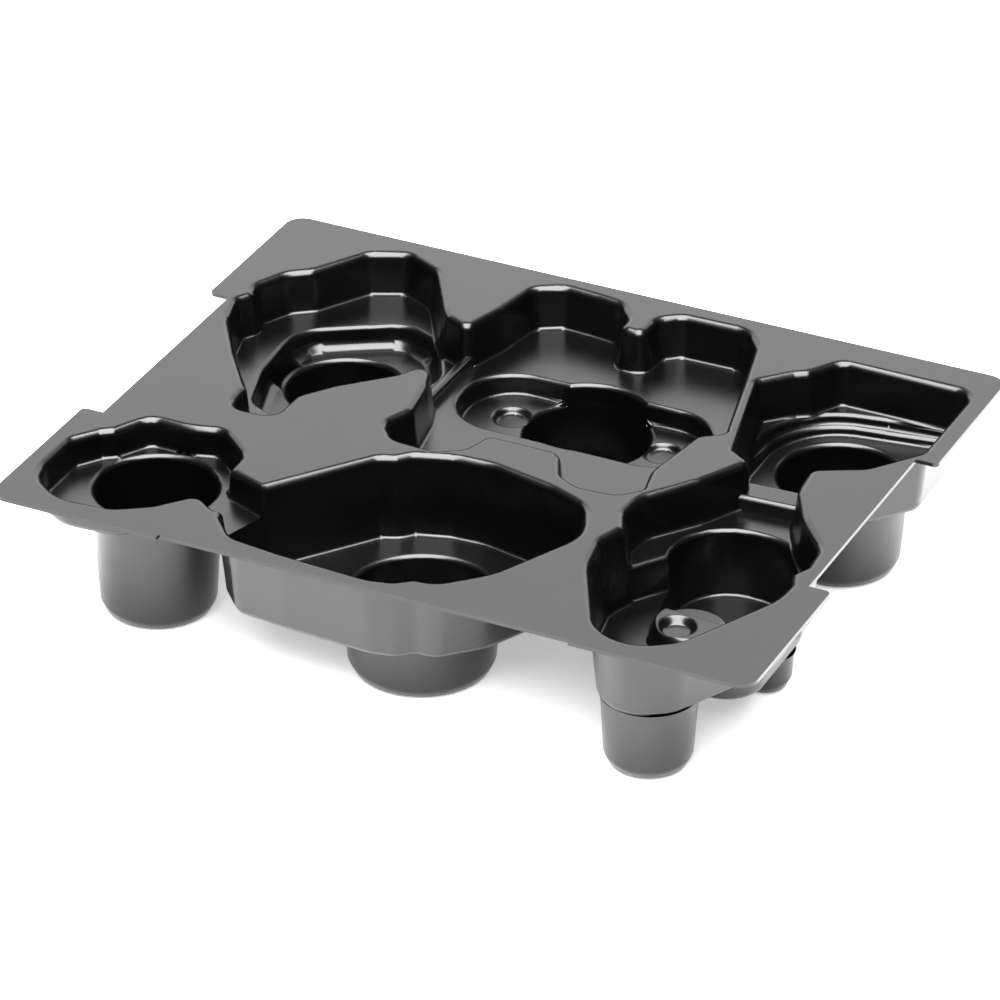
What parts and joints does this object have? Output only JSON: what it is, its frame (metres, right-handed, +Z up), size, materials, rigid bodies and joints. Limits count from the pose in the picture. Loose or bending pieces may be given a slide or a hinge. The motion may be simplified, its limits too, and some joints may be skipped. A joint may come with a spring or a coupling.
{
  "type": "thermoformed packing tray",
  "caption": "Shallow rectangular moulded sheet tray with joined irregular pockets sunk below a flat flange, stepped ledges and deep round feet it stands on.",
  "frame": {"origin": "centre of the rectangle the tray covers, on the floor its feet stand on", "axes": "+Z up through the pockets' open side, +X along the long edge with the stepped back pocket on the right, +Y towards the plain back edge"},
  "size_m": [0.584, 0.47, 0.12],
  "materials": {
    "sheet": "black thermoforming sheet, satin to glossy, smooth"
  },
  "bodies": {
    "root": {"tray": "sheet"}
  },
  "joints": []
}
